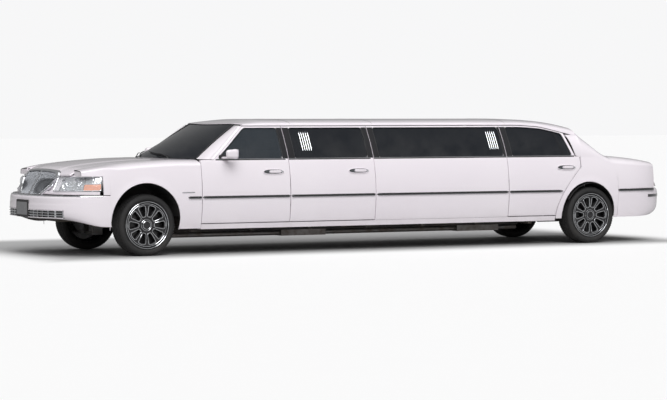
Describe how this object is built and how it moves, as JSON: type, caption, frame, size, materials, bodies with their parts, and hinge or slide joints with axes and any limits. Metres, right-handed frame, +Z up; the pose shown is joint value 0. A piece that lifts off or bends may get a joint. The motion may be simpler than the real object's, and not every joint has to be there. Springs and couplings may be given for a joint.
{
  "type": "stretch limousine",
  "caption": "Long white saloon car stretched behind its middle doors, with hinged doors, hood and boot lid, steered front wheels and turning road wheels.",
  "frame": {"origin": "on the ground under the middle of the whole car's box", "axes": "+X forward along the car, +Y to its left, +Z up"},
  "size_m": [8.519, 2.25, 1.54],
  "materials": {
    "pearl_paint": "gloss clear-coated pearl white",
    "tinted_glass": "polished, heavily tinted",
    "underbody_black": "matt chassis black",
    "black_plastic": "grained matt plastic",
    "bare_steel": "dull forged and drawn steel",
    "cast_iron": "rough casting",
    "chrome_trim": "bright chrome",
    "lamp_clear": "clear moulded lens",
    "lamp_red": "red moulded lens",
    "cabin_plastic": "soft grained trim",
    "black_leather": "sewn leather",
    "lacquered_wood": "lacquered veneer",
    "tyre_rubber": "matt rubber",
    "black_wheel": "gloss black with bright edges"
  },
  "bodies": {
    "chassis": {"frame": "underbody_black", "floor": "underbody_black", "body_frame": "pearl_paint", "roof": "pearl_paint", "front_fenders": "pearl_paint", "stretch_panels": "pearl_paint", "quarter_panels": "pearl_paint", "cowl": "underbody_black", "tail_panel": "underbody_black", "front_bumper": "pearl_paint", "rear_bumper": "pearl_paint", "grille": "chrome_trim", "headlamps": "lamp_clear", "tail_lamps": "lamp_red", "fixed_glass": "tinted_glass", "wheel_liners": "black_plastic", "hinge_brackets": "bare_steel", "dashboard": "cabin_plastic", "steering_wheel": "cabin_plastic", "front_seats": "black_leather", "partition": "cabin_plastic", "lounge_seat": "black_leather", "bar_console": "lacquered_wood", "engine": "cast_iron", "driveline": "bare_steel", "exhaust": "bare_steel", "fuel_tank": "underbody_black", "front_suspension": "bare_steel", "rear_axle": "bare_steel"},
    "hood": {"hood": "pearl_paint"},
    "boot_lid": {"boot_lid": "pearl_paint"},
    "front_door_left": {"front_door_left": "pearl_paint", "front_glass_left": "tinted_glass"},
    "middle_door_left": {"middle_door_left": "pearl_paint", "middle_glass_left": "tinted_glass"},
    "rear_door_left": {"rear_door_left": "pearl_paint", "rear_glass_left": "tinted_glass"},
    "knuckle_left": {"knuckle_left": "bare_steel"},
    "wheel_front_left": {"tyre_front_left": "tyre_rubber", "rim_front_left": "black_wheel"},
    "wheel_rear_left": {"tyre_rear_left": "tyre_rubber", "rim_rear_left": "black_wheel"},
    "front_door_right": {"front_door_right": "pearl_paint", "front_glass_right": "tinted_glass"},
    "middle_door_right": {"middle_door_right": "pearl_paint", "middle_glass_right": "tinted_glass"},
    "rear_door_right": {"rear_door_right": "pearl_paint", "rear_glass_right": "tinted_glass"},
    "knuckle_right": {"knuckle_right": "bare_steel"},
    "wheel_front_right": {"tyre_front_right": "tyre_rubber", "rim_front_right": "black_wheel"},
    "wheel_rear_right": {"tyre_rear_right": "tyre_rubber", "rim_rear_right": "black_wheel"}
  },
  "joints": [
    {"name": "front_door_left", "type": "hinge", "parent": "chassis", "child": "front_door_left", "pos_m": [2.3895, 0.971, 0.66], "axis": [0, 0, -1], "range_deg": [0, 65]},
    {"name": "middle_door_left", "type": "hinge", "parent": "chassis", "child": "middle_door_left", "pos_m": [1.2495, 0.971, 0.66], "axis": [0, 0, -1], "range_deg": [0, 65]},
    {"name": "rear_door_left", "type": "hinge", "parent": "chassis", "child": "rear_door_left", "pos_m": [-1.7605, 0.971, 0.66], "axis": [0, 0, -1], "range_deg": [0, 65]},
    {"name": "steer_left", "type": "hinge", "parent": "chassis", "child": "knuckle_left", "pos_m": [3.1195, 0.78, 0.349], "axis": [0, 0, 1], "range_deg": [-33, 33]},
    {"name": "roll_front_left", "type": "hinge", "parent": "knuckle_left", "child": "wheel_front_left", "pos_m": [3.1195, 0.805, 0.349], "axis": [0, 1, 0], "continuous": true},
    {"name": "roll_rear_left", "type": "hinge", "parent": "chassis", "child": "wheel_rear_left", "pos_m": [-2.9185, 0.833, 0.349], "axis": [0, 1, 0], "continuous": true},
    {"name": "front_door_right", "type": "hinge", "parent": "chassis", "child": "front_door_right", "pos_m": [2.3895, -0.971, 0.66], "axis": [0, 0, 1], "range_deg": [0, 65]},
    {"name": "middle_door_right", "type": "hinge", "parent": "chassis", "child": "middle_door_right", "pos_m": [1.2495, -0.971, 0.66], "axis": [0, 0, 1], "range_deg": [0, 65]},
    {"name": "rear_door_right", "type": "hinge", "parent": "chassis", "child": "rear_door_right", "pos_m": [-1.7605, -0.971, 0.66], "axis": [0, 0, 1], "range_deg": [0, 65]},
    {"name": "steer_right", "type": "hinge", "parent": "chassis", "child": "knuckle_right", "pos_m": [3.1195, -0.78, 0.349], "axis": [0, 0, 1], "range_deg": [-33, 33]},
    {"name": "roll_front_right", "type": "hinge", "parent": "knuckle_right", "child": "wheel_front_right", "pos_m": [3.1195, -0.805, 0.349], "axis": [0, 1, 0], "continuous": true},
    {"name": "roll_rear_right", "type": "hinge", "parent": "chassis", "child": "wheel_rear_right", "pos_m": [-2.9185, -0.833, 0.349], "axis": [0, 1, 0], "continuous": true},
    {"name": "hood_lift", "type": "hinge", "parent": "chassis", "child": "hood", "pos_m": [2.5195, 0, 1.045], "axis": [0, -1, 0], "range_deg": [0, 50]},
    {"name": "boot_lid_lift", "type": "hinge", "parent": "chassis", "child": "boot_lid", "pos_m": [-3.3585, 0, 1.035], "axis": [0, 1, 0], "range_deg": [0, 75]}
  ],
  "couplings": [
    {"joint": "steer_right", "follows": "steer_left", "ratio": 1}
  ]
}
